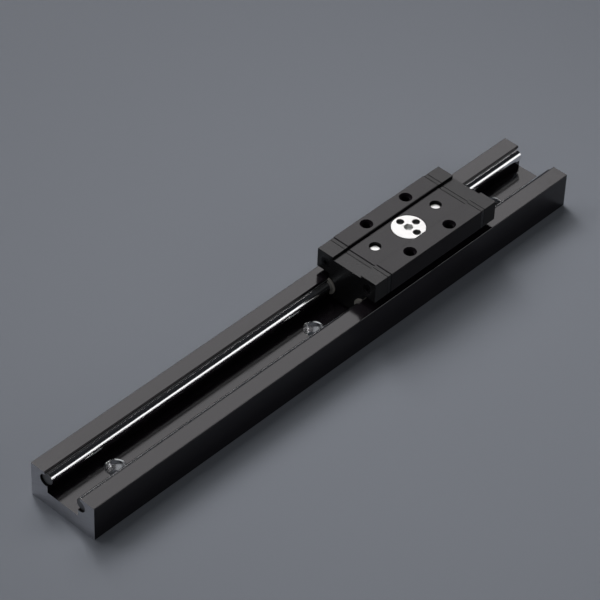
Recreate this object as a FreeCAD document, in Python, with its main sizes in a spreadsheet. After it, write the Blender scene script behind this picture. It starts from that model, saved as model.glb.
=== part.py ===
import FreeCAD, Part
import math
import os
from types import SimpleNamespace
import Sketcher

# Roller linear guide rail: a channel rail with two round guide shafts, and a carriage on three
# grooved ball-bearing rollers. Two rollers turn on fixed axles, the middle one on an eccentric.
# Origin at the middle of the rail's underside, +X along the rail, +Y to the left shaft, +Z up.

driving = {
    # rail extrusion
    "rail_length": 300.0,
    "rail_width": 37.6,
    "rail_height": 18.3,
    "floor_height": 7.4,
    "channel_top_width": 21.1,
    "channel_floor_width": 18.2,
    "rail_edge_break": 0.3,
    "bolt_pitch": 120.0,
    "bolt_count": 3,
    "bolt_hole_diameter": 5.5,
    "bolt_seat_diameter": 9.0,
    "bolt_seat_depth": 4.5,
    # guide shafts
    "shaft_diameter": 6.0,
    "shaft_spread": 20.6,
    "shaft_height": 13.9,
    "shaft_inset": 1.0,
    "shaft_edge_break": 0.3,
    "shaft_seat_play": 0.03,
    # carriage block
    "carriage_offset": 60.0,
    "carriage_width": 35.0,
    "block_length": 60.0,
    "block_thickness": 10.5,
    "block_clearance": 2.7,
    "block_edge_break": 0.25,
    "block_end_break": 0.35,
    "recess_width": 16.8,
    "recess_depth": 1.4,
    "mount_pitch_along": 26.0,
    "mount_pitch_across": 26.0,
    "mount_hole_diameter": 4.4,
    "mount_mouth_diameter": 6.0,
    # end caps, wiper plates and felts
    "cap_length": 7.8,
    "plate_length": 2.2,
    "cap_inset": 0.2,
    "cap_edge_break": 0.2,
    "cap_end_break": 0.15,
    "plate_end_break": 0.2,
    "neck_lip_play": 0.45,
    "neck_wall_play": 0.4,
    "neck_floor_play": 0.8,
    "cap_shaft_play": 0.4,
    "plate_shaft_play": 0.15,
    "felt_shaft_play": 0.1,
    "felt_thickness": 1.3,
    "felt_seat_depth": 3.0,
    "felt_proud": 0.5,
    "cap_screw_spread": 25.0,
    "cap_screw_drop": 5.4,
    "cap_screw_diameter": 2.5,
    "cap_screw_grip": 5.0,
    "cap_screw_head_diameter": 4.5,
    "cap_screw_head_height": 2.0,
    "cap_screw_hole_play": 0.15,
    "cap_screw_key": 2.0,
    # rollers and their bearings
    "axle_margin": 9.9,
    "roller_shift": 1.2,
    "roller_diameter": 15.4,
    "roller_width": 7.0,
    "roller_side_step": 0.2,
    "roller_edge_break": 0.4,
    "rolling_play": 0.03,
    "groove_play": 0.05,
    "bearing_bore": 5.0,
    "inner_ring_diameter": 6.8,
    "outer_ring_bore": 10.0,
    "ball_diameter": 2.0,
    "ball_count": 8,
    "ball_play": 0.04,
    "cage_wall": 1.0,
    "cage_width": 3.0,
    "shield_thickness": 0.3,
    "shield_inset": 0.2,
    "shield_play": 0.15,
    # axles
    "axle_play": 0.01,
    "axle_collar_diameter": 6.4,
    "axle_shank_diameter": 5.6,
    "axle_top_drop": 1.6,
    "axle_edge_break": 0.7,
    "roller_screw_diameter": 2.5,
    "roller_screw_length": 5.0,
    "roller_screw_head_diameter": 6.4,
    "roller_screw_head_height": 1.4,
    "roller_screw_key": 2.5,
    "screw_thread_play": 0.02,
    "screw_key_depth": 0.8,
    "screw_tip_gap": 0.5,
    # eccentric
    "eccentric_offset": 0.7,
    "eccentric_disc_diameter": 15.6,
    "eccentric_disc_height": 3.2,
    "eccentric_body_diameter": 10.0,
    "eccentric_gap": 0.3,
    "eccentric_fit": 0.02,
    "pin_circle_diameter": 10.0,
    "pin_hole_diameter": 3.3,
    "pin_hole_depth": 2.0,
    "disc_key": 4.0,
    "disc_key_depth": 2.0,
}

full_turn = 360.0
overshoot = 1.0
build_tolerance = 1e-6

doc = FreeCAD.newDocument("RollerRail")
sheet = doc.addObject("Spreadsheet::Sheet", "Sizes")
nodes = []


class Size:
    # A length that carries its value and the expression that ties it to the sheet.
    def __init__(self, value, text):
        self.value = value
        self.text = text

    def __add__(self, other):
        other = sized(other)
        return Size(self.value + other.value, f"({self.text} + {other.text})")

    def __sub__(self, other):
        other = sized(other)
        return Size(self.value - other.value, f"({self.text} - {other.text})")

    def __mul__(self, other):
        other = sized(other)
        return Size(self.value * other.value, f"({self.text} * {other.text})")

    def __truediv__(self, other):
        other = sized(other)
        return Size(self.value / other.value, f"({self.text} / {other.text})")

    def __neg__(self):
        return self * -1.0


def sized(item):
    if isinstance(item, Size):
        return item
    return Size(float(item), f"({float(item)!r})")


def fill_sheet():
    for row, (alias, value) in enumerate(driving.items(), 1):
        sheet.set(f"A{row}", alias)
        sheet.set(f"B{row}", str(value))
        sheet.setAlias(f"B{row}", alias)
    doc.recompute()
    return SimpleNamespace(**{name: Size(float(value), f"Sizes.{name}") for name, value in driving.items()})


def derived_sizes(s):
    # Heights and places that several pieces share.
    s.shaft_across = s.shaft_spread / 2
    s.shaft_radius = s.shaft_diameter / 2
    s.roller_base = s.shaft_height - s.roller_width / 2
    s.roller_top = s.shaft_height + s.roller_width / 2
    s.block_base = s.rail_height + s.block_clearance
    s.block_top = s.block_base + s.block_thickness
    s.recess_floor = s.block_top - s.recess_depth
    s.roller_pitch = s.block_length / 2 - s.axle_margin
    s.groove_floor = s.shaft_across - s.roller_shift - s.shaft_radius - s.rolling_play
    s.ball_radius = s.ball_diameter / 2
    s.ball_pitch_radius = (s.inner_ring_diameter + s.outer_ring_bore) / 4
    s.eccentric_across = s.eccentric_offset - s.roller_shift
    s.cap_screw_height = s.block_top - s.cap_screw_drop


def bind(item, prop, size):
    item.setExpression(prop, sized(size).text)


def new_body(name):
    body = doc.addObject("PartDesign::Body", name)
    body.Label = name
    return body


def origin_item(body, role):
    return next(item for item in body.Origin.OriginFeatures if item.Role == role)


def put(item, x=0, y=0, z=0, turn=0.0):
    # Places a piece, turned about its vertical axis, with its position tied to the sheet.
    x, y, z = sized(x), sized(y), sized(z)
    spin = FreeCAD.Rotation(FreeCAD.Vector(0, 0, 1), turn)
    item.Placement = FreeCAD.Placement(FreeCAD.Vector(x.value, y.value, z.value), spin)
    bind(item, "Placement.Base.x", x)
    bind(item, "Placement.Base.y", y)
    bind(item, "Placement.Base.z", z)


def new_sketch(body, name, plane, shift=0, lift=0, rise=0):
    # A sketch on one of the body's own planes: shift and rise move it along its X and Y axes, lift
    # off the plane.
    sketch = body.newObject("Sketcher::SketchObject", f"{body.Name}_{name}")
    sketch.AttachmentSupport = [(origin_item(body, plane), "")]
    sketch.MapMode = "FlatFace"
    bind(sketch, "AttachmentOffset.Base.x", shift)
    bind(sketch, "AttachmentOffset.Base.y", rise)
    bind(sketch, "AttachmentOffset.Base.z", lift)
    return sketch


def tie(sketch, kind, geometry, point, size):
    if kind == "Radius":
        index = sketch.addConstraint(Sketcher.Constraint(kind, geometry, size.value))
    else:
        index = sketch.addConstraint(Sketcher.Constraint(kind, -1, 1, geometry, point, size.value))
    bind(sketch, f"Constraints[{index}]", size)


def tie_point(sketch, geometry, point, across, up):
    # A coordinate given as a plain 0 puts the point on that axis.
    if isinstance(across, Size):
        tie(sketch, "DistanceX", geometry, point, across)
    else:
        sketch.addConstraint(Sketcher.Constraint("PointOnObject", geometry, point, -2))
    if isinstance(up, Size):
        tie(sketch, "DistanceY", geometry, point, up)
    else:
        sketch.addConstraint(Sketcher.Constraint("PointOnObject", geometry, point, -1))


def draw_polygon(sketch, points):
    corners = [FreeCAD.Vector(sized(a).value, sized(b).value, 0) for a, b in points]
    first = sketch.GeometryCount
    count = len(points)
    for index, corner in enumerate(corners):
        sketch.addGeometry(Part.LineSegment(corner, corners[(index + 1) % count]), False)
    for index in range(count):
        following = first + (index + 1) % count
        sketch.addConstraint(Sketcher.Constraint("Coincident", first + index, 2, following, 1))
    for index, (across, up) in enumerate(points):
        tie_point(sketch, first + index, 1, across, up)


def draw_circle(sketch, across, up, radius):
    centre = FreeCAD.Vector(sized(across).value, sized(up).value, 0)
    shape = Part.Circle(centre, FreeCAD.Vector(0, 0, 1), radius.value)
    geometry = sketch.addGeometry(shape, False)
    tie_point(sketch, geometry, 3, across, up)
    tie(sketch, "Radius", geometry, 0, radius)


def add_feature(body, kind, name, sketch):
    feature = body.newObject(f"PartDesign::{kind}", f"{body.Name}_{name}")
    feature.Profile = sketch
    return feature


def pad(body, sketch, length):
    bind(add_feature(body, "Pad", "pad", sketch), "Length", length)


def pocket(body, name, sketch, depth):
    # Cuts against the sketch's normal.
    feature = add_feature(body, "Pocket", name, sketch)
    bind(feature, "Length", depth)
    return feature


def revolve(body, kind, name, sketch):
    feature = add_feature(body, kind, name, sketch)
    feature.ReferenceAxis = (sketch, ["V_Axis"])
    feature.Angle = full_turn
    return feature


def mirrored(points):
    # Completes a half outline, listed from its middle bottom to its middle top, by its mirror image.
    return points + [(-across, up) for across, up in reversed(points)]


def turned_body(name, points, x, y):
    # A turned piece: its half section, as radius and height, revolved about a vertical axis.
    body = new_body(name)
    sketch = new_sketch(body, "section", "XZ_Plane")
    draw_polygon(sketch, points)
    revolve(body, "Revolution", "turn", sketch)
    put(body, x, y)
    return body


def ring_points(inner, outer, base, top, edge=None):
    # The half section of a ring, its outer corners broken by edge where one is given.
    if edge is None:
        return [(inner, base), (outer, base), (outer, top), (inner, top)]
    return [
        (inner, base),
        (outer - edge, base),
        (outer, base + edge),
        (outer, top - edge),
        (outer - edge, top),
        (inner, top),
    ]


def break_rims(body, name, places, size):
    # Chamfers the whole rim of each upright face that stands at one of these places along X.
    doc.recompute()
    base = body.Tip
    rims = []
    for number, edge in enumerate(base.Shape.Edges, 1):
        box = edge.BoundBox
        stands = [place for place in places if abs(box.XMin - place.value) < build_tolerance]
        if box.XLength < build_tolerance and stands:
            rims.append(f"Edge{number}")
    feature = body.newObject("PartDesign::Chamfer", f"{body.Name}_{name}")
    feature.Base = (base, rims)
    bind(feature, "Size", size)


def cut_round_groove(body, name, distance, height, radius):
    sketch = new_sketch(body, name, "XZ_Plane")
    draw_circle(sketch, distance, height, radius)
    revolve(body, "Groove", f"{name}_cut", sketch)


def cut_key(body, name, flats, height, depth, upward=False, rise=0):
    # A hexagon socket, flats apart, sunk into the face at this height.
    sketch = new_sketch(body, name, "XY_Plane", lift=height, rise=rise)
    corner = flats / math.sqrt(3.0)
    angles = [math.radians(60.0 * index) for index in range(6)]
    points = []
    for angle in angles:
        across = corner * round(math.cos(angle), 9)
        up = corner * round(math.sin(angle), 9) if abs(math.sin(angle)) > build_tolerance else 0
        points.append((across, up))
    draw_polygon(sketch, points)
    feature = pocket(body, f"{name}_cut", sketch, depth)
    feature.Reversed = upward


def keep(item):
    nodes.append(item)
    return item


def group(name, items):
    joined = doc.addObject("Part::Compound", name)
    joined.Label = name
    joined.Links = items
    return keep(joined)


def rail_extrusion(s):
    body = new_body("rail_extrusion")
    outer = s.rail_width / 2
    lip = s.channel_top_width / 2
    wall = s.channel_floor_width / 2
    edge = s.rail_edge_break
    half = [
        (outer - edge, 0),
        (outer, edge),
        (outer, s.rail_height - edge),
        (outer - edge, s.rail_height),
        (lip + edge, s.rail_height),
        (lip, s.rail_height - edge),
        (lip, s.shaft_height),
        (wall, s.shaft_height),
        (wall, s.floor_height),
    ]
    section = new_sketch(body, "section", "YZ_Plane", lift=-s.rail_length / 2)
    draw_polygon(section, mirrored(half))
    pad(body, section, s.rail_length)
    seats = new_sketch(body, "shaft_seats", "YZ_Plane", lift=s.rail_length / 2)
    for side in (1.0, -1.0):
        draw_circle(seats, s.shaft_across * side, s.shaft_height, s.shaft_radius + s.shaft_seat_play)
    pocket(body, "seat_cut", seats, s.rail_length)
    cut_bolt_holes(body, s)
    return keep(body)


def cut_bolt_holes(body, s):
    # A row of counterbored holes in the channel's floor, a pitch apart about the middle.
    seat = s.floor_height - s.bolt_seat_depth
    hole = s.bolt_hole_diameter / 2
    bore = s.bolt_seat_diameter / 2
    row_length = s.bolt_pitch * (s.bolt_count - 1)
    sketch = new_sketch(body, "bolt_hole", "XZ_Plane", shift=-row_length / 2)
    above = s.floor_height + overshoot
    below = sized(-overshoot)
    draw_polygon(sketch, [(0, below), (hole, below), (hole, seat), (bore, seat), (bore, above), (0, above)])
    first = revolve(body, "Groove", "bolt_hole_cut", sketch)
    row = body.newObject("PartDesign::LinearPattern", "rail_bolt_row")
    row.Originals = [first]
    row.Direction = (origin_item(body, "X_Axis"), [""])
    bind(row, "Length", row_length)
    bind(row, "Occurrences", s.bolt_count)
    body.Tip = row


def guide_shaft(s, name, side):
    # A ground round shaft, its ends set in from the rail's ends and chamfered.
    body = new_body(name)
    half = s.rail_length / 2 - s.shaft_inset
    edge = s.shaft_edge_break
    points = [
        (0, -half),
        (s.shaft_radius - edge, -half),
        (s.shaft_radius, edge - half),
        (s.shaft_radius, half - edge),
        (s.shaft_radius - edge, half),
        (0, half),
    ]
    sketch = new_sketch(body, "section", "XZ_Plane")
    draw_polygon(sketch, points)
    revolve(body, "Revolution", "turn", sketch)
    put(body, 0, s.shaft_across * side, s.shaft_height)
    lying = FreeCAD.Rotation(FreeCAD.Vector(0, 1, 0), 90)
    body.Placement = FreeCAD.Placement(body.Placement.Base, lying)
    return keep(body)


def carriage_block(s):
    body = new_body("carriage_block")
    outer = s.carriage_width / 2
    land = s.recess_width / 2
    edge = s.block_edge_break
    half = [
        (outer - edge, s.block_base),
        (outer, s.block_base + edge),
        (outer, s.block_top - edge),
        (outer - edge, s.block_top),
        (land + edge, s.block_top),
        (land, s.block_top - edge),
        (land, s.recess_floor),
    ]
    section = new_sketch(body, "section", "YZ_Plane", lift=-s.block_length / 2)
    draw_polygon(section, mirrored(half))
    pad(body, section, s.block_length)
    break_rims(body, "end_rims", [-s.block_length / 2, s.block_length / 2], s.block_end_break)
    cut_mount_holes(body, s)
    cut_axle_bores(body, s)
    cut_eccentric_seat(body, s)
    for end in (1.0, -1.0):
        cut_screw_bores(body, s, end)
    put(body, s.carriage_offset)
    return keep(body)


def cut_mount_holes(body, s):
    # Four tapped holes through the lands, each with a countersunk mouth, patterned from one.
    hole = s.mount_hole_diameter / 2
    mouth = s.mount_mouth_diameter / 2
    slope = mouth - hole
    sketch = new_sketch(body, "mount_hole", "XZ_Plane", -s.mount_pitch_along / 2, s.mount_pitch_across / 2)
    points = [
        (0, s.block_base - overshoot),
        (hole, s.block_base - overshoot),
        (hole, s.block_top - slope),
        (mouth, s.block_top),
        (mouth, s.block_top + overshoot),
        (0, s.block_top + overshoot),
    ]
    draw_polygon(sketch, points)
    first = revolve(body, "Groove", "mount_hole_cut", sketch)
    grid = body.newObject("PartDesign::MultiTransform", "block_mount_grid")
    grid.Originals = [first]
    along = pattern_step(body, "block_mounts_along", "X_Axis", s.mount_pitch_along)
    across = pattern_step(body, "block_mounts_across", "Y_Axis", s.mount_pitch_across)
    grid.Transformations = [along, across]
    body.Tip = grid


def pattern_step(body, name, axis, pitch):
    step = body.newObject("PartDesign::LinearPattern", name)
    step.Direction = (origin_item(body, axis), [""])
    bind(step, "Length", pitch)
    step.Occurrences = 2
    return step


def cut_axle_bores(body, s):
    sketch = new_sketch(body, "axle_bores", "XY_Plane", lift=s.block_top)
    for end in (1.0, -1.0):
        draw_circle(sketch, s.roller_pitch * end, s.roller_shift, s.axle_shank_diameter / 2 + s.axle_play)
    pocket(body, "axle_bore_cut", sketch, s.block_thickness)


def cut_eccentric_seat(body, s):
    # A counterbore for the disc over a close bore for the eccentric's body.
    disc = new_sketch(body, "disc_seat", "XY_Plane", lift=s.block_top)
    draw_circle(disc, 0, s.eccentric_across, s.eccentric_disc_diameter / 2 + s.eccentric_gap)
    pocket(body, "disc_seat_cut", disc, s.recess_depth + s.eccentric_disc_height)
    bore = new_sketch(body, "eccentric_bore", "XY_Plane", lift=s.block_top)
    draw_circle(bore, 0, s.eccentric_across, s.eccentric_body_diameter / 2 + s.eccentric_fit)
    pocket(body, "eccentric_bore_cut", bore, s.block_thickness)


def cut_screw_bores(body, s, end):
    # Tapped bores for the cap screws in one end face.
    name = "rear_bores" if end > 0 else "front_bores"
    sketch = new_sketch(body, name, "YZ_Plane", lift=s.block_length / 2 * end)
    for side in (1.0, -1.0):
        radius = s.cap_screw_diameter / 2 + s.screw_thread_play
        draw_circle(sketch, s.cap_screw_spread / 2 * side, s.cap_screw_height, radius)
    feature = pocket(body, f"{name}_cut", sketch, s.cap_screw_grip + s.screw_tip_gap)
    feature.Reversed = end < 0


def cap_half_outline(s, edge):
    # Half the end view of a cap: the shell over the rail, and the neck that fills the channel.
    outer = s.carriage_width / 2 - s.cap_inset
    land = s.recess_width / 2
    lip = s.channel_top_width / 2 - s.neck_lip_play
    wall = s.channel_floor_width / 2 - s.neck_wall_play
    return [
        (wall, s.floor_height + s.neck_floor_play),
        (wall, s.shaft_height),
        (lip, s.shaft_height),
        (lip, s.block_base),
        (outer, s.block_base),
        (outer, s.block_top - s.cap_inset - edge),
        (outer - edge, s.block_top - s.cap_inset),
        (land, s.block_top - s.cap_inset),
        (land, s.recess_floor - s.cap_inset),
    ]


def cut_shaft_passage(body, s, name, start, depth, radius):
    sketch = new_sketch(body, name, "YZ_Plane", lift=start)
    for side in (1.0, -1.0):
        draw_circle(sketch, s.shaft_across * side, s.shaft_height, radius)
    pocket(body, f"{name}_cut", sketch, depth)


def cut_screw_passage(body, s, name, start, depth, radius):
    sketch = new_sketch(body, name, "YZ_Plane", lift=start)
    for side in (1.0, -1.0):
        draw_circle(sketch, s.cap_screw_spread / 2 * side, s.cap_screw_height, radius)
    pocket(body, f"{name}_cut", sketch, depth)


def face_out(item, s, end):
    # End pieces are drawn for the rear end. The front ones are turned half way round.
    put(item, s.carriage_offset, turn=0.0 if end > 0 else 180.0)


def wiper_plate(s, name, end):
    body = new_body(name)
    start = s.block_length / 2
    section = new_sketch(body, "section", "YZ_Plane", lift=start)
    draw_polygon(section, mirrored(cap_half_outline(s, s.cap_edge_break)))
    pad(body, section, s.plate_length)
    face = start + s.plate_length
    break_rims(body, "rims", [start, face], s.plate_end_break)
    cut_shaft_passage(body, s, "shafts", face, s.plate_length, s.shaft_radius + s.plate_shaft_play)
    screw_hole = s.cap_screw_diameter / 2 + s.cap_screw_hole_play
    cut_screw_passage(body, s, "screws", face, s.plate_length, screw_hole)
    face_out(body, s, end)
    return keep(body)


def end_cap(s, name, end):
    body = new_body(name)
    start = s.block_length / 2 + s.plate_length
    section = new_sketch(body, "section", "YZ_Plane", lift=start)
    draw_polygon(section, mirrored(cap_half_outline(s, s.cap_edge_break)))
    pad(body, section, s.cap_length)
    face = start + s.cap_length
    break_rims(body, "rims", [start, face], s.cap_end_break)
    cut_shaft_passage(body, s, "shafts", face, s.cap_length, s.shaft_radius + s.cap_shaft_play)
    cut_shaft_passage(body, s, "felt_seats", face, s.felt_seat_depth, felt_outer_radius(s))
    screw_hole = s.cap_screw_diameter / 2 + s.cap_screw_hole_play
    cut_screw_passage(body, s, "screws", face, s.cap_length, screw_hole)
    head_hole = s.cap_screw_head_diameter / 2 + s.cap_screw_hole_play
    cut_screw_passage(body, s, "screw_heads", face, s.cap_screw_head_height, head_hole)
    face_out(body, s, end)
    return keep(body)


def felt_outer_radius(s):
    return s.shaft_radius + s.felt_shaft_play + s.felt_thickness


def oil_felts(s, name, end):
    # Two felt rings that wrap the channel side of the shafts and stand a little out of the cap.
    pieces = []
    for side, tag in ((1.0, "left"), (-1.0, "right")):
        body = new_body(f"{name}_{tag}")
        face = s.block_length / 2 + s.plate_length + s.cap_length
        length = s.felt_seat_depth + s.felt_proud
        disc = new_sketch(body, "disc", "YZ_Plane", lift=face - s.felt_seat_depth)
        draw_circle(disc, s.shaft_across * side, s.shaft_height, felt_outer_radius(s))
        pad(body, disc, length)
        bore = new_sketch(body, "bore", "YZ_Plane", lift=face + s.felt_proud)
        draw_circle(bore, s.shaft_across * side, s.shaft_height, s.shaft_radius + s.felt_shaft_play)
        pocket(body, "bore_cut", bore, length)
        lip = s.channel_top_width / 2 - s.neck_lip_play
        wall = s.channel_floor_width / 2 - s.neck_wall_play
        far = s.rail_width / 2
        high = s.shaft_height + felt_outer_radius(s) + overshoot
        low = s.shaft_height - felt_outer_radius(s) - overshoot
        outside = [
            (lip, s.shaft_height),
            (lip, high),
            (far, high),
            (far, low),
            (wall, low),
            (wall, s.shaft_height),
        ]
        trim = new_sketch(body, "outside", "YZ_Plane", lift=face + s.felt_proud)
        draw_polygon(trim, [(across * side, up) for across, up in outside])
        pocket(body, "outside_cut", trim, length)
        face_out(body, s, end)
        pieces.append(body)
    return group(name, pieces)


def cap_screws(s, name, end):
    # Socket screws through cap and plate into the block, heads sunk flush in the cap.
    pieces = []
    for side, tag in ((1.0, "left"), (-1.0, "right")):
        face = s.block_length / 2 + s.plate_length + s.cap_length
        tip = s.block_length / 2 - s.cap_screw_grip
        neck = face - s.cap_screw_head_height
        shank = s.cap_screw_diameter / 2
        head = s.cap_screw_head_diameter / 2
        body = new_body(f"{name}_{tag}")
        sketch = new_sketch(body, "section", "XZ_Plane")
        draw_polygon(sketch, [(0, tip), (shank, tip), (shank, neck), (head, neck), (head, face), (0, face)])
        revolve(body, "Revolution", "turn", sketch)
        cut_key(body, "key", s.cap_screw_key, face, s.screw_key_depth)
        outward = FreeCAD.Rotation(FreeCAD.Vector(0, 1, 0), 90.0 * end)
        put(body, s.carriage_offset, s.cap_screw_spread / 2 * side, s.cap_screw_height)
        body.Placement = FreeCAD.Placement(body.Placement.Base, outward)
        pieces.append(body)
    return group(name, pieces)


def journal_points(s):
    # The lower end of an axle, shared by all three: tapped end, journal and collar.
    journal = s.bearing_bore / 2 - s.axle_play
    thread = s.roller_screw_diameter / 2 + s.screw_thread_play
    blind = s.roller_base + s.roller_screw_length + s.screw_tip_gap
    collar = s.axle_collar_diameter / 2
    return [
        (0, blind),
        (thread, blind),
        (thread, s.roller_base),
        (journal, s.roller_base),
        (journal, s.roller_top),
        (collar, s.roller_top),
        (collar, s.block_base),
    ]


def fixed_axle(s, name, end):
    # Pressed into the block from below up to its collar, its end left short of the recess floor.
    shank = s.axle_shank_diameter / 2
    top = s.recess_floor - s.axle_top_drop
    edge = s.axle_edge_break
    upper = [(shank, s.block_base), (shank, top - edge), (shank - edge, top), (0, top)]
    return keep(turned_body(name, journal_points(s) + upper, *roller_axis(s, end)))


def eccentric_axle(s):
    # Body and disc turn on one axis, and the journal below them stands off it by the offset. The
    # disc has three pin holes round a hexagon socket.
    body = turned_body("eccentric_axle", journal_points(s) + [(0, s.block_base)], *roller_axis(s, 0.0))
    core = s.eccentric_body_diameter / 2
    seat = s.recess_floor - s.eccentric_disc_height
    collar = new_sketch(body, "core", "XY_Plane", lift=s.block_base)
    draw_circle(collar, 0, s.eccentric_offset, core)
    pad(body, collar, seat - s.block_base)
    disc = new_sketch(body, "disc", "XY_Plane", lift=seat)
    draw_circle(disc, 0, s.eccentric_offset, s.eccentric_disc_diameter / 2)
    disc_pad = add_feature(body, "Pad", "disc_pad", disc)
    bind(disc_pad, "Length", s.eccentric_disc_height)
    pins = new_sketch(body, "pin_holes", "XY_Plane", lift=s.recess_floor)
    reach = s.pin_circle_diameter / 2
    radius = s.pin_hole_diameter / 2
    draw_circle(pins, reach, s.eccentric_offset, radius)
    draw_circle(pins, 0, s.eccentric_offset + reach, radius)
    draw_circle(pins, 0, s.eccentric_offset - reach, radius)
    pocket(body, "pin_hole_cut", pins, s.pin_hole_depth)
    cut_key(body, "key", s.disc_key, s.recess_floor, s.disc_key_depth, rise=s.eccentric_offset)
    return keep(body)


def roller_axis(s, end):
    # The end rollers run on the left shaft, and the middle one (end 0) on the right shaft.
    if end == 0:
        return s.carriage_offset, -s.roller_shift
    return s.carriage_offset + s.roller_pitch * end, s.roller_shift


def roller_screw(s, name, end):
    # Clamps the inner ring against the axle's collar from below.
    thread = s.roller_screw_diameter / 2
    head = s.roller_screw_head_diameter / 2
    base = s.roller_base - s.roller_screw_head_height
    tip = s.roller_base + s.roller_screw_length
    seat = s.roller_base
    points = [(0, base), (head, base), (head, seat), (thread, seat), (thread, tip), (0, tip)]
    body = turned_body(name, points, *roller_axis(s, end))
    cut_key(body, "key", s.roller_screw_key, base, s.screw_key_depth, upward=True)
    return keep(body)


def inner_ring(s, name, end):
    points = ring_points(s.bearing_bore / 2, s.inner_ring_diameter / 2, s.roller_base, s.roller_top)
    body = turned_body(name, points, *roller_axis(s, end))
    cut_round_groove(body, "race", s.ball_pitch_radius, s.shaft_height, s.ball_radius + s.ball_play)
    return keep(body)


def roller(s, name, end):
    # The outer ring: a ball race inside, and round the outside a groove that fits the shaft.
    base = s.roller_base + s.roller_side_step
    top = s.roller_top - s.roller_side_step
    points = ring_points(s.outer_ring_bore / 2, s.roller_diameter / 2, base, top, s.roller_edge_break)
    body = turned_body(name, points, *roller_axis(s, end))
    cut_round_groove(body, "race", s.ball_pitch_radius, s.shaft_height, s.ball_radius + s.ball_play)
    groove = s.shaft_radius + s.groove_play
    cut_round_groove(body, "shaft_groove", s.groove_floor + groove, s.shaft_height, groove)
    return keep(body)


def bearing_shields(s, name, end):
    inner = s.inner_ring_diameter / 2 + s.shield_play
    outer = s.outer_ring_bore / 2
    low = s.roller_base + s.roller_side_step + s.shield_inset
    high = s.roller_top - s.roller_side_step - s.shield_inset - s.shield_thickness
    pieces = []
    for base, tag in ((low, "lower"), (high, "upper")):
        points = ring_points(inner, outer, base, base + s.shield_thickness)
        pieces.append(turned_body(f"{name}_{tag}", points, *roller_axis(s, end)))
    return group(name, pieces)


def ball_cage(s, name, end):
    # A ring between the races with a round window for each ball.
    inner = s.ball_pitch_radius - s.cage_wall / 2
    outer = s.ball_pitch_radius + s.cage_wall / 2
    points = ring_points(inner, outer, s.shaft_height - s.cage_width / 2, s.shaft_height + s.cage_width / 2)
    body = turned_body(name, points, *roller_axis(s, end))
    window = new_sketch(body, "window", "XZ_Plane")
    draw_circle(window, 0, s.shaft_height, s.ball_radius + s.ball_play)
    first = pocket(body, "window_cut", window, outer + overshoot)
    ring = body.newObject("PartDesign::PolarPattern", f"{name}_windows")
    ring.Originals = [first]
    ring.Axis = (origin_item(body, "Z_Axis"), [""])
    ring.Angle = full_turn
    bind(ring, "Occurrences", s.ball_count)
    body.Tip = ring
    return keep(body)


def bearing_balls(s, name, end):
    axis_x, axis_y = roller_axis(s, end)
    count = round(s.ball_count.value)
    pieces = []
    for index in range(count):
        angle = math.pi / 2 + 2 * math.pi * index / count
        ball = doc.addObject("Part::Sphere", f"{name}_{index + 1}")
        bind(ball, "Radius", s.ball_radius)
        across = axis_x + s.ball_pitch_radius * round(math.cos(angle), 9)
        along = axis_y + s.ball_pitch_radius * round(math.sin(angle), 9)
        put(ball, across, along, s.shaft_height)
        pieces.append(ball)
    return group(name, pieces)


def build():
    s = fill_sheet()
    derived_sizes(s)
    rail_extrusion(s)
    guide_shaft(s, "guide_shaft_left", 1.0)
    guide_shaft(s, "guide_shaft_right", -1.0)
    carriage_block(s)
    for place, end in (("front", -1.0), ("rear", 1.0)):
        wiper_plate(s, f"wiper_plate_{place}", end)
        end_cap(s, f"end_cap_{place}", end)
        oil_felts(s, f"oil_felts_{place}", end)
        cap_screws(s, f"cap_screws_{place}", end)
        fixed_axle(s, f"fixed_axle_{place}", end)
    eccentric_axle(s)
    for place, end in (("front", -1.0), ("middle", 0.0), ("rear", 1.0)):
        roller_screw(s, f"roller_screw_{place}", end)
        inner_ring(s, f"inner_ring_{place}", end)
        roller(s, f"roller_{place}", end)
        bearing_shields(s, f"bearing_shields_{place}", end)
        ball_cage(s, f"ball_cage_{place}", end)
        bearing_balls(s, f"bearing_balls_{place}", end)
    doc.recompute()


def check_features():
    for item in doc.Objects:
        if "Invalid" in item.State or "Error" in item.State:
            raise RuntimeError(f"{item.Name} failed: {item.State}")
    for item in doc.Objects:
        if item.TypeId in ("PartDesign::Pocket", "PartDesign::Groove"):
            if item.Shape.Volume > item.BaseFeature.Shape.Volume - build_tolerance:
                raise RuntimeError(f"{item.Name} cuts nothing")


def write_nodes():
    for node in nodes:
        shape = node.Shape
        if shape.isNull() or not shape.isValid() or not shape.Solids:
            raise RuntimeError(f"{node.Label} has no valid solid")
    os.makedirs("parts", exist_ok=True)
    for node in nodes:
        node.Shape.exportStep(f"parts/{node.Label}.step")
        print(f"{node.Label}: {len(node.Shape.Solids)} solids, {node.Shape.Volume:.1f} mm3")


build()
check_features()
write_nodes()
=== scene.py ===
import math
import bpy
from mathutils import Matrix, Vector


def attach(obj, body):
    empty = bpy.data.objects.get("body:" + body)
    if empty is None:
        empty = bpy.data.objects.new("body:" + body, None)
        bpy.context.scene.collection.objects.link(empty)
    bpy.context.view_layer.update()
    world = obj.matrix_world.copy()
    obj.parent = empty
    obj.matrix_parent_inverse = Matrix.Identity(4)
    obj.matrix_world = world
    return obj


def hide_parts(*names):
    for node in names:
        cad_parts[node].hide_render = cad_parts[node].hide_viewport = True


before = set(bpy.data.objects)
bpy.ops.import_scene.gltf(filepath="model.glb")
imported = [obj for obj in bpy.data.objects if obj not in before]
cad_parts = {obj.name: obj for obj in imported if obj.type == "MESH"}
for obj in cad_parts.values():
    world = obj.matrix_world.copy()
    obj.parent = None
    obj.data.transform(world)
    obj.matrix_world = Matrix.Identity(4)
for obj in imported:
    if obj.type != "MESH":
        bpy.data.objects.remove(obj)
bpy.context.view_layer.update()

scene = bpy.context.scene
scene.view_settings.view_transform = "Standard"
places = ("front", "middle", "rear")
print("frame loaded with", len(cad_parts), "nodes")


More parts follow.
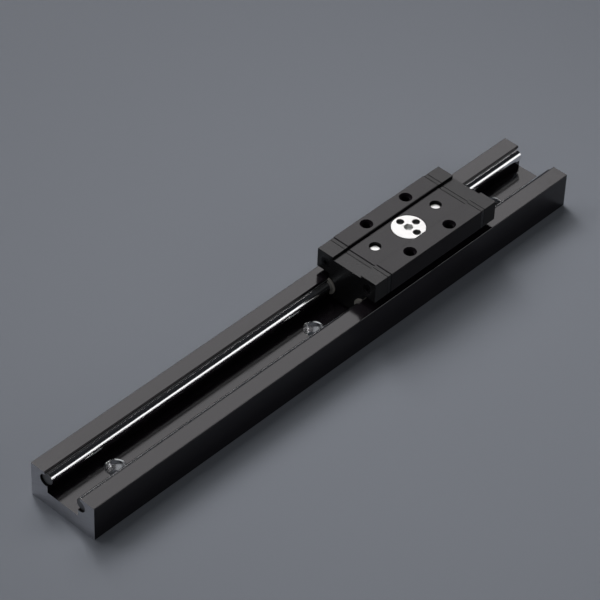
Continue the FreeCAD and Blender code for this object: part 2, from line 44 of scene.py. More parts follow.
# helpers for node trees

class Wire:
    # one output of a node, with arithmetic that adds Math nodes to its tree
    def __init__(self, board, socket):
        self.board = board
        self.socket = socket

    def __add__(self, other):
        return self.board.calc("ADD", self, other)

    def __sub__(self, other):
        return self.board.calc("SUBTRACT", self, other)

    def __rsub__(self, other):
        return self.board.calc("SUBTRACT", other, self)

    def __mul__(self, other):
        return self.board.calc("MULTIPLY", self, other)

    def __truediv__(self, other):
        return self.board.calc("DIVIDE", self, other)

    __radd__ = __add__
    __rmul__ = __mul__


class Board:
    # a shader or geometry tree that is written as expressions
    def __init__(self, tree):
        self.tree = tree
        self.tree.nodes.clear()

    def put(self, kind, settings=None, values=None):
        # settings come first, because some of them change which sockets the node has
        made = self.tree.nodes.new(kind)
        for name, setting in (settings or {}).items():
            setattr(made, name, setting)
        for name, value in (values or {}).items():
            self.feed(made, name, value)
        return made

    def feed(self, made, name, value):
        # a socket is found by its identifier, its name or its number
        if isinstance(name, str):
            matching = [s for s in made.inputs if s.identifier == name]
            place = matching[0] if matching else made.inputs[name]
        else:
            place = made.inputs[name]
        for single in value if isinstance(value, list) else [value]:
            if isinstance(single, Wire):
                self.tree.links.new(single.socket, place)
            else:
                place.default_value = single

    def out(self, made, name=0):
        if isinstance(name, str):
            matching = [s for s in made.outputs if s.identifier == name]
            return Wire(self, matching[0] if matching else made.outputs[name])
        return Wire(self, made.outputs[name])

    def calc(self, operation, *terms):
        return self.out(self.put("ShaderNodeMath", {"operation": operation}, dict(enumerate(terms))))

    def join(self, x, y, z):
        return self.out(self.put("ShaderNodeCombineXYZ", {}, {0: x, 1: y, 2: z}))

    def split(self, wire):
        made = self.put("ShaderNodeSeparateXYZ", {}, {0: wire})
        return self.out(made, 0), self.out(made, 1), self.out(made, 2)

    def mask(self, value, low, high):
        # 0 below low, 1 above high, smooth between; low may be the larger one
        made = self.put("ShaderNodeMapRange", {"interpolation_type": "SMOOTHSTEP"},
                        {"Value": value, "From Min": low, "From Max": high})
        return self.out(made, "Result")

    def noise(self, where, scale, detail=2.0, roughness=0.5):
        made = self.put("ShaderNodeTexNoise", {},
                        {"Vector": where, "Scale": scale, "Detail": detail, "Roughness": roughness})
        return self.out(made, "Fac")

    def blend(self, factor, first, second):
        made = self.put("ShaderNodeMix", {"data_type": "RGBA"},
                        {"Factor_Float": factor, "A_Color": first, "B_Color": second})
        return self.out(made, "Result_Color")

    def bump(self, height, distance, strength=1.0, below=None):
        values = {"Height": height, "Distance": distance, "Strength": strength}
        if below:
            values["Normal"] = below
        return self.out(self.put("ShaderNodeBump", {}, values), "Normal")

    def where(self):
        return self.out(self.put("ShaderNodeTexCoord"), "Object")

    def radial(self, x, y, centre):
        # distance from a line through centre, across the two given coordinates
        across = x - centre[0]
        up = y - centre[1]
        return self.calc("SQRT", across * across + up * up)


def startFinish(name, look):
    # a material with one glossy shader; look holds the values that stay constant
    material = bpy.data.materials.new(name)
    material.use_nodes = True
    board = Board(material.node_tree)
    shader = board.put("ShaderNodeBsdfPrincipled", {}, look)
    ending = board.put("ShaderNodeOutputMaterial")
    board.tree.links.new(shader.outputs["BSDF"], ending.inputs["Surface"])
    return material, board, shader


def grey(value, blue=1.0):
    return (value, value, value * blue, 1.0)


def tinted(value):
    # black anodising leans a little to violet brown
    return (value * 1.3, value, value * 1.35, 1.0)


def dress(material, *names):
    for name in names:
        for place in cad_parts[name].material_slots:
            place.material = material


# helpers for geometry trees

def startTree(name, inputs):
    tree = bpy.data.node_groups.new(name, "GeometryNodeTree")
    kinds = {int: "NodeSocketInt", float: "NodeSocketFloat"}
    tree.interface.new_socket("Geometry", in_out="INPUT", socket_type="NodeSocketGeometry")
    for label, value in inputs.items():
        tree.interface.new_socket(label, in_out="INPUT", socket_type=kinds[type(value)])
    tree.interface.new_socket("Geometry", in_out="OUTPUT", socket_type="NodeSocketGeometry")
    board = Board(tree)
    entry = board.put("NodeGroupInput")
    return tree, board, {item.name: board.out(entry, item.name) for item in entry.outputs if item.name}


def endTree(board, shape, material=None):
    # every tree ends in real geometry with its finish set
    real = board.out(board.put("GeometryNodeRealizeInstances", {}, {0: shape}))
    if material:
        real = board.out(board.put("GeometryNodeSetMaterial", {}, {"Geometry": real, "Material": material}))
    board.put("NodeGroupOutput", {}, {0: real})


def growPiece(name, seed, tree, inputs):
    # runs the tree on a seed mesh and keeps the result as a plain mesh
    host = bpy.data.objects.new(name + "Seed", seed)
    scene.collection.objects.link(host)
    modifier = host.modifiers.new("shape", "NODES")
    modifier.node_group = tree
    for item in tree.interface.items_tree:
        if item.item_type == "SOCKET" and item.in_out == "INPUT" and item.name in inputs:
            modifier[item.identifier] = inputs[item.name]
    graph = bpy.context.evaluated_depsgraph_get()
    mesh = bpy.data.meshes.new_from_object(host.evaluated_get(graph), depsgraph=graph)
    mesh.name = name
    host.modifiers.clear()
    bpy.data.objects.remove(host)
    piece = bpy.data.objects.new(name, mesh)
    scene.collection.objects.link(piece)
    return piece


def smoothPiece(piece, degrees):
    piece.data.shade_smooth()
    piece.data.set_sharp_from_angle(angle=math.radians(degrees))


def emptySeed(name):
    mesh = bpy.data.meshes.new(name)
    mesh.from_pydata([(0.0, 0.0, 0.0)], [], [])
    return mesh


# rail

railSizes = {
    "length": 0.300,
    "width": 0.0376,
    "height": 0.0183,
    "floorHeight": 0.0074,
    "mouthHalf": 0.01055,
    "wallHalf": 0.0091,
    "edgeRadius": 0.00026,
    "lipRadius": 0.00046,
    "seatRadius": 0.00303,
    "shaftAcross": 0.0103,
    "shaftHeight": 0.0139,
    "boltPitch": 0.120,
    "boltCount": 3,
    "boltHole": 0.0055,
    "boltSeat": 0.0090,
    "boltSeatDepth": 0.0045,
    "boltRim": 0.00035,
}

railLook = {
    "colour": 0.006,
    "gloss": 0.11,
    "streaks": 0.05,
    # the next three entries set the painted highlight strips on the lip and the outer top edge
    "lipHighlightTone": 0.30,
    "edgeHighlightTone": 0.18,
    "highlightGloss": 0.32,
    "sawn": (0.48, 0.76),
    "sawnGloss": 0.40,
    "sawCentre": (-0.055, -0.120),
    "bored": (0.62, 0.74),
    "boredRim": 0.95,
    "boredGloss": 0.17,
}


def anodisedRail():
    material, board, shader = startFinish("anodisedRail", {"IOR": 1.43})
    sizes, look = railSizes, railLook
    x, y, z = board.split(board.where())
    # die lines run along the rail
    lines = board.noise(board.join(x * 6.0, y * 900.0, z * 900.0), 1.0, 4.0, 0.6)
    fine = board.noise(board.join(x * 25.0, y * 4200.0, z * 4200.0), 1.0, 2.0)
    cloud = board.noise(board.where(), 26.0, 3.0)
    smudge = board.mask(board.noise(board.where(), 70.0, 4.0, 0.6), 0.52, 0.74)
    tone = board.blend(cloud, tinted(look["colour"] * 0.8), tinted(look["colour"] * 1.25))
    # painted highlight: a pale grey strip along the lower edge of each lip stands in for a reflected grey
    # line, and a broken strip of bare metal along the outer top edge stands in for an edge highlight
    across = board.calc("ABSOLUTE", y)
    mouth, outer, top = sizes["mouthHalf"], sizes["width"] / 2, sizes["height"]
    lip = sizes["shaftHeight"] + sizes["seatRadius"]
    lipHighlight = board.mask(across, mouth + 0.00020, mouth + 0.00005)
    lipHighlight = lipHighlight * board.mask(z, lip + 0.00027, lip + 0.00017)
    lipHighlight = lipHighlight * board.mask(z, lip - 0.00033, lip - 0.00023)
    edgeHighlight = board.mask(across, outer - 0.00022, outer - 0.00012)
    edgeHighlight = edgeHighlight * board.mask(z, top - 0.00022, top - 0.00012)
    edgeHighlight = edgeHighlight * board.mask(board.noise(board.where(), 150.0, 3.0), 0.1, 0.7)
    highlightStrips = board.calc("MINIMUM", lipHighlight + edgeHighlight, 1.0)
    highlightTone = board.blend(edgeHighlight, grey(look["lipHighlightTone"]), grey(look["edgeHighlightTone"]))
    board.feed(shader, "Base Color", board.blend(highlightStrips, tone, highlightTone))
    board.feed(shader, "Metallic", edgeHighlight)
    rough = look["gloss"] + lines * look["streaks"] + smudge * 0.05 + highlightStrips * look["highlightGloss"]
    board.feed(shader, "Roughness", rough)
    normal = board.bump(lines, 0.000012, 0.5)
    board.feed(shader, "Normal", board.bump(fine, 0.000003, 0.5, normal))
    return material


def sawnAluminium():
    # the cut ends show arcs from the saw blade and a bare, dull metal
    material, board, shader = startFinish("sawnAluminium", {"Metallic": 1.0})
    x, y, z = board.split(board.where())
    far = board.radial(y, z, railLook["sawCentre"])
    uneven = board.noise(board.where(), 260.0, 3.0)
    arcs = board.noise(board.join(far * 9000.0 + uneven * 1.5, uneven, 0.0), 1.0, 3.0, 0.6)
    wide = board.noise(board.join(far * 900.0, 0.0, 0.0), 1.0, 2.0)
    deep, pale = railLook["sawn"]
    tone = board.blend(arcs * 0.7 + wide * 0.3, grey(deep, 1.03), grey(pale, 1.03))
    board.feed(shader, "Base Color", tone)
    board.feed(shader, "Roughness", railLook["sawnGloss"] + arcs * 0.16)
    board.feed(shader, "Normal", board.bump(arcs, 0.00003, 0.5))
    return material


def boredAluminium():
    # bolt holes are bored after the finish, so their rings are bright
    pitch = railSizes["boltPitch"]
    material, board, shader = startFinish("boredAluminium", {"Metallic": 1.0})
    x, y, z = board.split(board.where())
    near = x - pitch * board.calc("ROUND", x / pitch)
    far = board.radial(near, y, (0.0, 0.0))
    rings = board.noise(board.join(far * 7000.0, z * 7000.0, 0.0), 1.0, 2.0)
    patch = board.noise(board.where(), 420.0, 2.0)
    deep, pale = railLook["bored"]
    tone = board.blend(patch, grey(deep, 1.01), grey(pale, 1.01))
    # the broken rim is freshly cut and shines
    low = railSizes["floorHeight"] - railSizes["boltRim"]
    rim = board.mask(z, low, low + 0.00005)
    board.feed(shader, "Base Color", board.blend(rim, tone, grey(railLook["boredRim"])))
    board.feed(shader, "Roughness", railLook["boredGloss"] + rings * 0.05)
    board.feed(shader, "Normal", board.bump(rings, 0.0000015, 0.4))
    return material


def roundedOutline(corners):
    # each corner carries the radius that softens it; a point just outside each arc keeps the flats flat
    steps, guard = 5, 1.12
    points = []
    count = len(corners)
    for index, (across, up, radius) in enumerate(corners):
        here = Vector((across, up))
        if not radius:
            points.append(here)
            continue
        before = (Vector(corners[index - 1][:2]) - here).normalized()
        after = (Vector(corners[(index + 1) % count][:2]) - here).normalized()
        start, end = here + before * radius, here + after * radius
        points.append(here + before * radius * guard)
        for step in range(steps + 1):
            share = step / steps
            first = start.lerp(here, share)
            second = here.lerp(end, share)
            points.append(first.lerp(second, share))
        points.append(here + after * radius * guard)
    return points


def railOutline(sizes):
    outer, edge, height = sizes["width"] / 2, sizes["edgeRadius"], sizes["height"]
    mouth, wall, radius = sizes["mouthHalf"], sizes["wallHalf"], sizes["seatRadius"]
    half = [(outer, 0.0, edge), (outer, height, edge), (mouth, height, sizes["lipRadius"])]
    # the seat's arc, from the mouth round to the wall below
    top = math.acos((mouth - sizes["shaftAcross"]) / radius)
    low = math.acos((wall - sizes["shaftAcross"]) / radius)
    steps = 48
    for step in range(steps + 1):
        angle = top + (-low - top) * step / steps
        across = sizes["shaftAcross"] + radius * math.cos(angle)
        half.append((across, sizes["shaftHeight"] + radius * math.sin(angle), 0.0))
    half.append((wall, sizes["floorHeight"], 0.0))
    mirror = [(-across, up, radius) for across, up, radius in reversed(half)]
    return roundedOutline(half + mirror)


def buildRail(anodised, sawn, bored):
    sizes = railSizes
    start = -sizes["length"] / 2
    outline = [(start, point.x, point.y) for point in railOutline(sizes)]
    seed = bpy.data.meshes.new("railSection")
    seed.from_pydata(outline, [], [list(range(len(outline)))])
    seed.materials.append(anodised)
    inputs = {
        "Length": sizes["length"],
        "Bolt Pitch": sizes["boltPitch"],
        "Bolt Count": sizes["boltCount"],
        "Hole Radius": sizes["boltHole"] / 2,
        "Seat Radius": sizes["boltSeat"] / 2,
        "Seat Height": sizes["floorHeight"] - sizes["boltSeatDepth"],
        "Rim": sizes["boltRim"],
        "Rim Height": sizes["floorHeight"] - sizes["boltRim"],
    }
    tree, board, given = startTree("railShape", inputs)
    length = given["Length"]
    section = given["Geometry"]
    along = board.join(1.0, 0.0, 0.0)
    swept = board.put("GeometryNodeExtrudeMesh", {"mode": "FACES"},
                      {"Mesh": section, "Offset": along, "Offset Scale": length, "Individual": False})
    back = board.out(board.put("GeometryNodeFlipFaces", {}, {"Mesh": section}))
    joined = board.out(board.put("GeometryNodeJoinGeometry", {}, {0: [board.out(swept), back]}))
    solid = board.out(board.put("GeometryNodeMergeByDistance", {}, {"Geometry": joined, "Distance": 1e-6}))
    first = 0.0 - given["Bolt Pitch"] * (given["Bolt Count"] - 1.0) * 0.5
    row = board.out(board.put("GeometryNodeMeshLine", {"mode": "OFFSET"}, {
        "Count": given["Bolt Count"], "Start Location": board.join(first, 0.0, 0.0),
        "Offset": board.join(given["Bolt Pitch"], 0.0, 0.0)}))
    # a bore, a seat and a broken rim; a cone stands on its base and a cylinder round its middle
    around, depth, below = 96, 0.010, 0.002
    shapes = []
    for radius, base in (("Hole Radius", -below), ("Seat Radius", given["Seat Height"])):
        bore = {"Vertices": around, "Radius": given[radius], "Depth": depth}
        made = board.put("GeometryNodeMeshCylinder", {"fill_type": "NGON"}, bore)
        shapes.append((made, base + depth / 2))
    rise = given["Rim"] * 2.0
    rim = {"Vertices": around, "Radius Bottom": given["Seat Radius"],
           "Radius Top": given["Seat Radius"] + rise, "Depth": rise}
    shapes.append((board.put("GeometryNodeMeshCone", {"fill_type": "NGON"}, rim), given["Rim Height"]))
    cutters = []
    for shape, height in shapes:
        tool = board.out(shape)
        lift = board.join(0.0, 0.0, height)
        placed = board.out(board.put("GeometryNodeTransform", {}, {"Geometry": tool, "Translation": lift}))
        several = board.put("GeometryNodeInstanceOnPoints", {}, {"Points": row, "Instance": placed})
        real = board.out(board.put("GeometryNodeRealizeInstances", {}, {0: board.out(several)}))
        bright = board.put("GeometryNodeSetMaterial", {}, {"Geometry": real, "Material": bored})
        cutters.append(board.out(bright))
    drilled = board.out(board.put("GeometryNodeMeshBoolean", {"operation": "DIFFERENCE", "solver": "EXACT"},
                                  {"Mesh 1": solid, "Mesh 2": cutters, "Self Intersection": True}))
    x, y, z = board.split(board.out(board.put("GeometryNodeInputPosition")))
    atEnd = board.calc("GREATER_THAN", board.calc("ABSOLUTE", x), length * 0.5 - 0.00005)
    ends = {"Geometry": drilled, "Selection": atEnd, "Material": sawn}
    endTree(board, board.out(board.put("GeometryNodeSetMaterial", {}, ends)))
    piece = growPiece("railExtrusion", seed, tree, inputs)
    smoothPiece(piece, 28.0)
    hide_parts("rail_extrusion")
    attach(piece, "rail")


buildRail(anodisedRail(), sawnAluminium(), boredAluminium())
print("rail built")


# guide shafts

shaftSizes = {
    "length": 0.298,
    "radius": 0.0030,
    "chamfer": 0.0003,
    "spread": 0.0206,
    "height": 0.0139,
}

shaftLook = {
    "colour": 0.82,
    "gloss": 0.11,
    "cutTone": 0.26,
}


def groundShaft():
    material, board, shader = startFinish("groundShaft", {"Metallic": 1.0})
    x, y, z = board.split(board.where())
    side = board.calc("ABSOLUTE", y) - shaftSizes["spread"] / 2
    far = board.radial(side, z, (0.0, shaftSizes["height"]))
    reach = shaftSizes["length"] / 2
    cutFace = board.mask(board.calc("ABSOLUTE", x), reach - 0.00034, reach - 0.00030)
    # grinding leaves very fine rings round the shaft, and oil leaves long thin smears
    grind = board.noise(board.join(x * 5200.0, y * 40.0, z * 40.0), 1.0, 3.0, 0.65)
    smear = board.mask(board.noise(board.join(x * 14.0, y * 700.0, z * 700.0), 1.0, 3.0), 0.50, 0.75)
    rings = board.noise(board.join(far * 6500.0, 0.0, 0.0), 1.0, 2.0)
    shine = board.blend(smear, grey(shaftLook["colour"], 1.01), grey(shaftLook["colour"] * 0.88, 1.0))
    dull = board.blend(rings, grey(shaftLook["cutTone"] * 0.8), grey(shaftLook["cutTone"] * 1.2))
    board.feed(shader, "Base Color", board.blend(cutFace, shine, dull))
    smooth = shaftLook["gloss"] + grind * 0.04 + smear * 0.025
    board.feed(shader, "Roughness", smooth + cutFace * (0.30 + rings * 0.1))
    height = grind * (1.0 - cutFace) * 0.12 + rings * cutFace
    board.feed(shader, "Normal", board.bump(height, 0.00001, 0.5))
    return material


def buildShafts(material):
    sizes = shaftSizes
    half, edge = sizes["length"] / 2, sizes["chamfer"]
    stations = [-half, edge - half, half - edge, half]
    seed = bpy.data.meshes.new("shaftLine")
    seed.from_pydata([(x, 0.0, 0.0) for x in stations], [(0, 1), (1, 2), (2, 3)], [])
    inputs = {
        "Radius": sizes["radius"],
        "Chamfer": edge,
        "Length": sizes["length"],
        "Spread": sizes["spread"],
        "Height": sizes["height"],
    }
    tree, board, given = startTree("shaftShape", inputs)
    line = board.out(board.put("GeometryNodeMeshToCurve", {}, {0: given["Geometry"]}))
    x, y, z = board.split(board.out(board.put("GeometryNodeInputPosition")))
    inward = given["Length"] * 0.5 - board.calc("ABSOLUTE", x)
    swell = given["Radius"] - given["Chamfer"] + board.calc("MINIMUM", inward, given["Chamfer"])
    ring = board.out(board.put("GeometryNodeCurvePrimitiveCircle", {}, {"Resolution": 128, "Radius": 1.0}))
    bar = board.out(board.put("GeometryNodeCurveToMesh", {},
                              {"Curve": line, "Profile Curve": ring, "Scale": swell, "Fill Caps": True}))
    pair = board.out(board.put("GeometryNodeMeshLine", {"mode": "OFFSET"}, {
        "Count": 2, "Start Location": board.join(0.0, given["Spread"] * -0.5, given["Height"]),
        "Offset": board.join(0.0, given["Spread"], 0.0)}))
    both = board.out(board.put("GeometryNodeInstanceOnPoints", {}, {"Points": pair, "Instance": bar}))
    endTree(board, both, material)
    piece = growPiece("guideShafts", seed, tree, inputs)
    smoothPiece(piece, 28.0)
    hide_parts("guide_shaft_left", "guide_shaft_right")
    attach(piece, "rail")


buildShafts(groundShaft())
print("shafts built")


# carriage

carriageSizes = {
    "centre": 0.060,
    "blockHalf": 0.0175,
    "capHalf": 0.0173,
    "holePitch": 0.026,
    "holeMouth": 0.0030,
    "screwAcross": 0.0125,
    "screwHeight": 0.0261,
}

axes = {"front": (0.0399, 0.0012), "middle": (0.060, -0.0012), "rear": (0.0801, 0.0012)}

discSizes = {
    "centre": (0.060, -0.0005),
    "pinRadius": 0.00165,
    "pinCircle": 0.0050,
    "pinTurns": (0, 90, 270),
}

carriageLook = {
    "blockColour": 0.006,
    "blockGloss": 0.17,
    "blockMatt": 0.42,
    # colour of the painted shade in the tapped holes
    "holeShadeColour": 0.006,
    "capColour": 0.010,
    "capGloss": 0.21,
    "capMatt": 0.38,
    "wiper": (0.008, 0.013),
    "wiperGloss": 0.22,
    "zinc": (0.80, 0.88),
    "zincGloss": 0.38,
    # tones of the painted shade in and round the disc's pin holes
    "pinMouthShade": 0.05,
    "pinInsideShade": 0.34,
    "feltDeep": (0.19, 0.18, 0.16, 1.0),
    "feltPale": (0.50, 0.475, 0.43, 1.0),
    "feltGloss": 0.86,
    "oxide": (0.012, 0.030),
    "oxideGloss": 0.34,
    "thread": (0.006, 0.012),
    "threadGloss": 0.55,
}

threadSizes = {
    "pitch": 0.0008,
    "radius": 0.00215,
    "ridge": 0.00018,
    "low": 0.0213,
    "high": 0.0306,
}


def anodisedBlock():
    material, board, shader = startFinish("anodisedBlock", {"IOR": 1.36})
    where = board.where()
    x, y, z = board.split(where)
    grain = board.noise(where, 5200.0, 2.0)
    milled = board.noise(board.join(x * 30.0, y * 2600.0, z * 2600.0), 1.0, 2.0)
    cloud = board.noise(where, 60.0, 3.0)
    look, colour = carriageLook, carriageLook["blockColour"]
    # the long sides are blasted matt
    side = carriageSizes["blockHalf"]
    matt = board.mask(board.calc("ABSOLUTE", y), side - 0.00015, side - 0.00005)
    board.feed(shader, "Base Color", board.blend(cloud, tinted(colour * 0.7), tinted(colour * 1.2)))
    rough = look["blockGloss"] + grain * 0.05 + cloud * 0.05 + matt * look["blockMatt"]
    board.feed(shader, "Roughness", rough)
    board.feed(shader, "Normal", board.bump(grain * 0.6 + milled * 0.4, 0.000006, 0.5))
    # painted shade: the tapped holes get a dark, dull, barely reflecting finish that stands in for the
    # shade inside them
    centre, mouth = carriageSizes["centre"], carriageSizes["holeMouth"]
    half = carriageSizes["holePitch"] / 2
    holeShade = 0.0
    for stepX in (-half, half):
        for stepY in (-half, half):
            far = board.radial(x, y, (centre + stepX, stepY))
            holeShade = board.mask(far, mouth + 0.00012, mouth + 0.00003) + holeShade
    shadeLook = {"IOR": 1.1, "Roughness": 0.7, "Base Color": tinted(look["holeShadeColour"])}
    dull = board.put("ShaderNodeBsdfPrincipled", {}, shadeLook)
    both = {0: holeShade, 1: board.out(shader, "BSDF"), 2: board.out(dull, "BSDF")}
    mixed = board.put("ShaderNodeMixShader", {}, both)
    ending = board.tree.nodes["Material Output"]
    board.tree.links.new(mixed.outputs[0], ending.inputs["Surface"])
    return material


def mouldedCap():
    material, board, shader = startFinish("mouldedCap", {"IOR": 1.39})
    where = board.where()
    x, y, z = board.split(where)
    grain = board.noise(where, 3600.0, 3.0, 0.6)
    flow = board.noise(where, 90.0, 3.0)
    look, colour = carriageLook, carriageLook["capColour"]
    # its long sides are matt too
    side = carriageSizes["capHalf"]
    matt = board.mask(board.calc("ABSOLUTE", y), side - 0.00015, side - 0.00005)
    board.feed(shader, "Base Color", board.blend(flow, grey(colour * 0.85, 1.05), grey(colour * 1.2, 1.05)))
    rough = look["capGloss"] + grain * 0.06 + flow * 0.04 + matt * look["capMatt"]
    board.feed(shader, "Roughness", rough)
    board.feed(shader, "Normal", board.bump(grain, 0.000010, 0.4))
    return material


def wiperRubber():
    material, board, shader = startFinish("wiperRubber", {"IOR": 1.37})
    where = board.where()
    grain = board.noise(where, 2400.0, 3.0, 0.6)
    bloom = board.mask(board.noise(where, 240.0, 3.0), 0.45, 0.75)
    deep, pale = carriageLook["wiper"]
    board.feed(shader, "Base Color", board.blend(bloom, grey(deep), grey(pale)))
    board.feed(shader, "Roughness", carriageLook["wiperGloss"] + grain * 0.08)
    board.feed(shader, "Normal", board.bump(grain, 0.000015, 0.5))
    return material


def turnedZinc(name, centre, pins=None):
    # turned metal, with rings about the piece's own axis
    material, board, shader = startFinish(name, {"Metallic": 1.0})
    look = carriageLook
    where = board.where()
    x, y, z = board.split(where)
    far = board.radial(x, y, centre)
    rings = board.noise(board.join(far * 7800.0, 0.0, 0.0), 1.0, 3.0, 0.6)
    stain = board.noise(where, 300.0, 3.0)
    deep, pale = look["zinc"]
    tone = board.blend(stain, grey(deep, 0.98), grey(pale, 0.98))
    if pins:
        # painted shade: a dark ring round each drilled hole's mouth and a darker grey inside stand in for
        # the shade in the holes
        radius, circle = pins["pinRadius"], pins["pinCircle"]
        insideShade, mouth = 0.0, 0.0
        for turn in pins["pinTurns"]:
            angle = math.radians(turn)
            spot = (centre[0] + circle * math.cos(angle), centre[1] + circle * math.sin(angle))
            near = board.radial(x, y, spot)
            insideShade = board.mask(near, radius + 0.00004, radius - 0.00001) + insideShade
            mouth = board.mask(near, radius + 0.00030, radius + 0.00012) + mouth
        tone = board.blend(board.calc("MINIMUM", mouth, 1.0), tone, grey(look["pinMouthShade"]))
        tone = board.blend(board.calc("MINIMUM", insideShade, 1.0), tone, grey(look["pinInsideShade"]))
    board.feed(shader, "Base Color", tone)
    board.feed(shader, "Roughness", look["zincGloss"] + rings * 0.10)
    board.feed(shader, "Normal", board.bump(rings, 0.000008, 0.5))
    return material


def pressedFelt():
    material, board, shader = startFinish("pressedFelt", {"IOR": 1.4})
    where = board.where()
    hair = board.noise(where, 5200.0, 4.0, 0.7)
    clump = board.noise(where, 1300.0, 3.0)
    deep, pale = carriageLook["feltDeep"], carriageLook["feltPale"]
    board.feed(shader, "Base Color", board.blend(hair * 0.6 + clump * 0.4, deep, pale))
    board.feed(shader, "Roughness", carriageLook["feltGloss"] + hair * 0.1)
    board.feed(shader, "Normal", board.bump(hair, 0.00006, 0.8))
    return material


def oxideScrew(name, centre, lying=False):
    # rings about the screw's axis; lying screws come in pairs that mirror each other across the middle
    material, board, shader = startFinish(name, {"Metallic": 1.0})
    where = board.where()
    x, y, z = board.split(where)
    far = board.radial(board.calc("ABSOLUTE", y), z, centre) if lying else board.radial(x, y, centre)
    rings = board.noise(board.join(far * 6000.0, 0.0, 0.0), 1.0, 2.0)
    patch = board.noise(where, 900.0, 3.0)
    deep, pale = carriageLook["oxide"]
    board.feed(shader, "Base Color", board.blend(patch, grey(deep, 1.1), grey(pale, 1.1)))
    board.feed(shader, "Roughness", carriageLook["oxideGloss"] + rings * 0.14)
    board.feed(shader, "Normal", board.bump(rings, 0.00001, 0.5))
    return material


def tappedThread():
    material, board, shader = startFinish("tappedThread", {"IOR": 1.25})
    cut = board.noise(board.where(), 2600.0, 3.0)
    deep, pale = carriageLook["thread"]
    board.feed(shader, "Base Color", board.blend(cut, tinted(deep), tinted(pale)))
    board.feed(shader, "Roughness", carriageLook["threadGloss"] + cut * 0.15)
    return material


def buildThreads(material):
    sizes = threadSizes
    inputs = {
        "Pitch": sizes["pitch"],
        "Radius": sizes["radius"],
        "Ridge": sizes["ridge"],
        "Low": sizes["low"],
        "Reach": sizes["high"] - sizes["low"],
        "Grid X": carriageSizes["holePitch"],
        "Grid Y": carriageSizes["holePitch"],
        "Centre": carriageSizes["centre"],
    }
    tree, board, given = startTree("threadShape", inputs)
    helix = board.out(board.put("GeometryNodeCurveSpiral", {}, {
        "Resolution": 28, "Rotations": given["Reach"] / given["Pitch"], "Start Radius": given["Radius"],
        "End Radius": given["Radius"], "Height": given["Reach"]}))
    section = {"Resolution": 3, "Radius": given["Ridge"]}
    ridge = board.out(board.put("GeometryNodeCurvePrimitiveCircle", {}, section))
    turns = board.out(board.put("GeometryNodeCurveToMesh", {},
                                {"Curve": helix, "Profile Curve": ridge, "Fill Caps": True}))
    grid = board.out(board.put("GeometryNodeMeshGrid", {}, {
        "Size X": given["Grid X"], "Size Y": given["Grid Y"], "Vertices X": 2, "Vertices Y": 2}))
    spots = board.out(board.put("GeometryNodeTransform", {}, {
        "Geometry": grid, "Translation": board.join(given["Centre"], 0.0, given["Low"])}))
    # one thread in each corner hole
    several = board.out(board.put("GeometryNodeInstanceOnPoints", {}, {"Points": spots, "Instance": turns}))
    endTree(board, several, material)
    piece = growPiece("mountThreads", emptySeed("threadSeed"), tree, inputs)
    smoothPiece(piece, 40.0)
    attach(piece, "carriage")


screwAxis = (carriageSizes["screwAcross"], carriageSizes["screwHeight"])
dress(anodisedBlock(), "carriage_block")
dress(mouldedCap(), "end_cap_front", "end_cap_rear")
dress(wiperRubber(), "wiper_plate_front", "wiper_plate_rear")
dress(pressedFelt(), "oil_felts_front", "oil_felts_rear")
dress(oxideScrew("capScrewOxide", screwAxis, True), "cap_screws_front", "cap_screws_rear")
dress(turnedZinc("discZinc", discSizes["centre"], discSizes), "eccentric_axle")
for place in ("front", "rear"):
    dress(turnedZinc("axleZinc" + place.capitalize(), axes[place]), "fixed_axle_" + place)
buildThreads(tappedThread())
print("carriage dressed")


# rollers and bearings

rollerLook = {
    # tone and roughness of each metal
    "ring": (0.62, 0.14),
    "sheet": (0.52, 0.26),
    "ball": (0.80, 0.07),
}


def bearingSteel(name, centre, tone, gloss):
    material, board, shader = startFinish(name, {"Metallic": 1.0})
    where = board.where()
    x, y, z = board.split(where)
    far = board.radial(x, y, centre)
    lathe = board.noise(board.join(far * 5200.0, z * 5200.0, 0.0), 1.0, 3.0, 0.6)
    film = board.noise(where, 220.0, 3.0)
    board.feed(shader, "Base Color", board.blend(film, grey(tone * 0.86), grey(tone * 1.08)))
    board.feed(shader, "Roughness", gloss + lathe * 0.08)
    board.feed(shader, "Normal", board.bump(lathe, 0.000006, 0.5))
    return material


for place in places:
    tag = place.capitalize()
    centre = axes[place]
    ringSteel = bearingSteel("ringSteel" + tag, centre, *rollerLook["ring"])
    sheetSteel = bearingSteel("sheetSteel" + tag, centre, *rollerLook["sheet"])
    ballSteel = bearingSteel("ballSteel" + tag, centre, *rollerLook["ball"])
    dress(ringSteel, "roller_" + place, "inner_ring_" + place)
    dress(sheetSteel, "bearing_shields_" + place, "ball_cage_" + place)
    dress(ballSteel, "bearing_balls_" + place)
    dress(oxideScrew("rollerScrewOxide" + tag, centre), "roller_screw_" + place)
print("rollers dressed")


# floor, light and camera

stageLook = {
    "floor": (0.300, 0.322, 0.362),
    # the two shares, the centre and the fade paint a pool of light onto the floor
    "poolShare": 1.055,
    "outerShare": 0.72,
    "poolCentre": (0.03, -0.10),
    "poolFade": (0.05, 0.46),
    # where the floor stops showing its colour and glows instead
    "floorGlow": (0.6, 2.2),
    "reach": 4.0,
    "drop": 0.00005,
    "skyHigh": (0.013, 0.014, 0.016, 1.0),
    "skyLow": (0.165, 0.178, 0.205, 1.0),
    "horizon": (0.20, 0.03),
}

lamps = [
    # name, direction from the object, distance, width, height, radiance, colour
    ("softBoxBehind", (0.111, 0.629, 0.769), 1.8, 2.8, 0.60, 2.35, (1.0, 0.98, 1.0)),
    ("keyBehind", (0.208, 0.529, 0.823), 1.9, 0.36, 1.64, 6.6, (1.0, 0.99, 0.985)),
    ("lowStripRight", (0.55, -0.77, 0.31), 1.6, 1.0, 0.74, 1.25, (1.0, 1.0, 1.0)),
    ("fillFront", (-0.736, -0.103, 0.669), 1.9, 2.4, 0.6, 0.60, (0.94, 0.97, 1.0)),
]

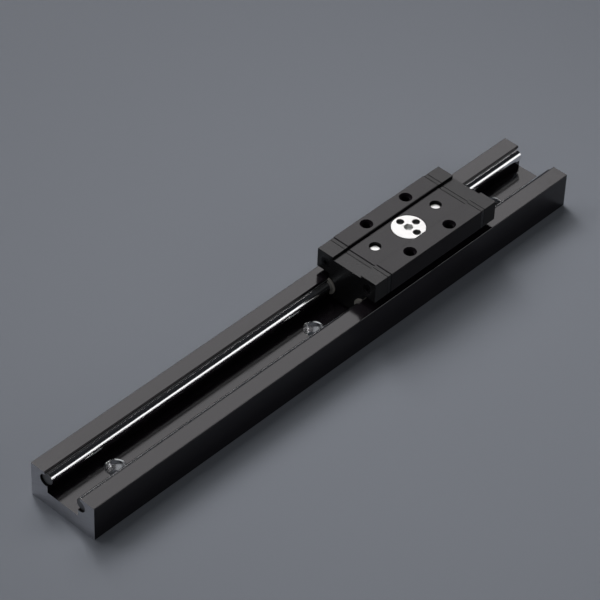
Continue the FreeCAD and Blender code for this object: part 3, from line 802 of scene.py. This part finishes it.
cameraView = {
    "lens": 175.93,
    "sensor": 36.0,
    "place": (-0.704280, -0.623386, 0.882160),
    "right": (0.68753, -0.72555, 0.02977),
    "up": (0.47434, 0.47977, 0.73813),
    "ahead": (0.54983, 0.49336, -0.67401),
}


def floorTone(share):
    return tuple(value * share for value in stageLook["floor"]) + (1.0,)


def buildFloor():
    look = {"Roughness": 0.75, "Specular IOR Level": 0.2, "Emission Strength": 1.0}
    material, board, shader = startFinish("studioFloor", look)
    x, y, z = board.split(board.where())
    # painted pool of light: the floor's colour is palest in front of the rail and deepens away from there
    outOfPool = board.mask(board.radial(x, y, stageLook["poolCentre"]), *stageLook["poolFade"])
    faint = board.noise(board.where(), 3.0, 2.0)
    near, far = floorTone(stageLook["poolShare"]), floorTone(stageLook["outerShare"])
    tone = board.blend(outOfPool * 0.97 + faint * 0.03, near, far)
    # painted glow: far from the lamps the floor's colour fades out and it glows with the horizon's own tone
    # instead
    floorGlow = board.mask(board.radial(x, y, (0.0, 0.0)), *stageLook["floorGlow"])
    board.feed(shader, "Base Color", board.blend(floorGlow, tone, grey(0.0)))
    board.feed(shader, "Emission Color", board.blend(floorGlow, grey(0.0), stageLook["skyLow"]))
    mesh = bpy.data.meshes.new("studioFloor")
    reach, low = stageLook["reach"], -stageLook["drop"]
    corners = [(-reach, -reach, low), (reach, -reach, low), (reach, reach, low), (-reach, reach, low)]
    mesh.from_pydata(corners, [], [(0, 1, 2, 3)])
    mesh.materials.append(material)
    floor = bpy.data.objects.new("studioFloor", mesh)
    scene.collection.objects.link(floor)


def buildWorld():
    world = bpy.data.worlds.new("softStudio")
    scene.world = world
    world.use_nodes = True
    board = Board(world.node_tree)
    # pale at the horizon, where the floor ends, and dark above it
    up = board.split(board.out(board.put("ShaderNodeTexCoord"), "Generated"))[2]
    low = board.mask(up, *stageLook["horizon"])
    tone = board.blend(low, stageLook["skyHigh"], stageLook["skyLow"])
    sky = board.put("ShaderNodeBackground", {}, {"Color": tone})
    ending = board.put("ShaderNodeOutputWorld")
    board.tree.links.new(sky.outputs[0], ending.inputs["Surface"])


def buildLamp(name, direction, distance, width, height, radiance, colour):
    # a soft box whose face shows the given radiance
    light = bpy.data.lights.new(name, "AREA")
    light.shape = "RECTANGLE"
    light.size, light.size_y = width, height
    light.energy = radiance * math.pi * width * height
    light.color = colour
    lamp = bpy.data.objects.new(name, light)
    aim = Vector(direction).normalized()
    lamp.location = aim * distance
    lamp.rotation_euler = aim.to_track_quat("Z", "Y").to_euler()
    scene.collection.objects.link(lamp)


def buildCamera():
    camera = bpy.data.cameras.new("photoCamera")
    camera.lens = cameraView["lens"]
    camera.sensor_width = cameraView["sensor"]
    camera.clip_end = 20.0
    holder = bpy.data.objects.new("photoCamera", camera)
    right, up, ahead = (Vector(cameraView[name]) for name in ("right", "up", "ahead"))
    turn = Matrix((right, up, -ahead)).transposed()
    holder.matrix_world = Matrix.Translation(cameraView["place"]) @ turn.to_4x4()
    scene.collection.objects.link(holder)
    scene.camera = holder


buildFloor()
buildWorld()
for lamp in lamps:
    buildLamp(*lamp)
buildCamera()
print("stage built")

bpy.context.view_layer.update()
